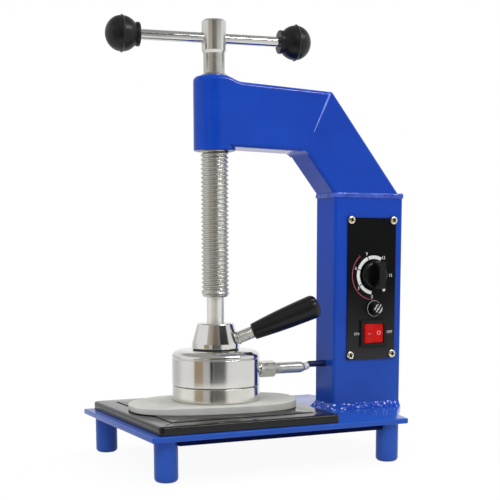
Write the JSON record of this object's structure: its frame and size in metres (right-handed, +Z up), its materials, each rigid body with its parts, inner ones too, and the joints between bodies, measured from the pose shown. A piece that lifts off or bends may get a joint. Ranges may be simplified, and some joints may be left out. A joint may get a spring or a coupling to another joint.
{
  "type": "tire vulcanizer",
  "caption": "Bench tire vulcanizer: a welded blue C-frame on a footed base, a hand-turned lead screw pressing a round electric heating head on a padded platen, timer panel on the column.",
  "frame": {"origin": "centre of the bounding box on the floor plane under the feet", "axes": "+X from the press head to the column, +Y from the control panel's side to the back, +Z up along the lead screw"},
  "size_m": [0.3102, 0.204, 0.4232],
  "materials": {
    "blue_paint": "gloss hammered",
    "platen_black": "semi gloss",
    "pad_fibre": "matte",
    "bronze": "machined",
    "panel_black": "matte",
    "brass_screw": "bright",
    "timer_case": "matte",
    "black_plastic": "gloss",
    "fuse_metal": "bright",
    "black_rubber": "matte",
    "head_alloy": "turned",
    "element_metal": "heat tinted",
    "insulation": "matte",
    "screw_steel": "machined",
    "bakelite": "gloss",
    "gland_nickel": "plated",
    "red_plastic": "gloss"
  },
  "bodies": {
    "frame": {"base_plate": "blue_paint", "front_rail": "blue_paint", "rear_rail": "blue_paint", "foot_front_left": "blue_paint", "foot_front_right": "blue_paint", "foot_rear_left": "blue_paint", "foot_rear_right": "blue_paint", "column": "blue_paint", "column_weld": "blue_paint", "brace": "blue_paint", "brace_weld": "blue_paint", "arm": "blue_paint", "platen_tray": "platen_black", "platen_insert": "platen_black", "work_pad": "pad_fibre", "screw_nut": "bronze", "control_panel": "panel_black", "panel_screws": "brass_screw", "timer_body": "timer_case", "fuse_body": "black_plastic", "fuse_link": "fuse_metal", "switch_body": "black_plastic", "lead_grommet": "black_rubber", "inlet_grommet": "black_rubber"},
    "screw": {"lead_screw": "screw_steel", "screw_crown": "screw_steel"},
    "bar": {"tommy_bar": "screw_steel", "ball_knob_left": "bakelite", "ball_knob_right": "bakelite"},
    "timer": {"timer_knob": "black_plastic"},
    "fuse_plug": {"fuse_cap": "black_plastic"},
    "rocker": {"switch_rocker": "red_plastic"},
    "head": {"heating_plate": "head_alloy", "heating_element": "element_metal", "thermostat": "screw_steel", "element_cover": "insulation", "heater_housing": "head_alloy", "insulation_disc": "insulation", "thrust_washer": "bronze", "collar": "head_alloy", "handle_stud": "screw_steel", "handle_grip": "bakelite", "gland_neck_ring": "gland_nickel", "gland_nut": "gland_nickel", "lead_sleeve": "gland_nickel", "heater_lead": "black_rubber"}
  },
  "joints": [
    {"name": "head_lift", "type": "slide", "parent": "frame", "child": "head", "axis": [0, 0, 1], "range_m": [0, 0.063], "deforming": ["heater_lead", "lead_sleeve"]},
    {"name": "screw_turn", "type": "hinge", "parent": "head", "child": "screw", "pos_m": [-0.0497, 0, 0], "axis": [0, 0, 1], "range_deg": [0, 5400]},
    {"name": "bar_slide", "type": "slide", "parent": "screw", "child": "bar", "axis": [0.9877, -0.1564, 0], "range_m": [-0.0523, 0.0595]},
    {"name": "timer_turn", "type": "hinge", "parent": "frame", "child": "timer", "pos_m": [0.11835, -0.0215, 0.1811], "axis": [0, 1, 0], "range_deg": [0, 270]},
    {"name": "fuse_turn", "type": "hinge", "parent": "frame", "child": "fuse_plug", "pos_m": [0.11835, -0.0215, 0.1469], "axis": [0, 1, 0], "range_deg": [-60, 0]},
    {"name": "rocker_tip", "type": "hinge", "parent": "frame", "child": "rocker", "pos_m": [0.11835, -0.0195, 0.1213], "axis": [0, 0, -1], "range_deg": [0, 16]}
  ],
  "couplings": [
    {"joint": "head_lift", "follows": "screw_turn", "m_per_rad": 0.00066845}
  ]
}
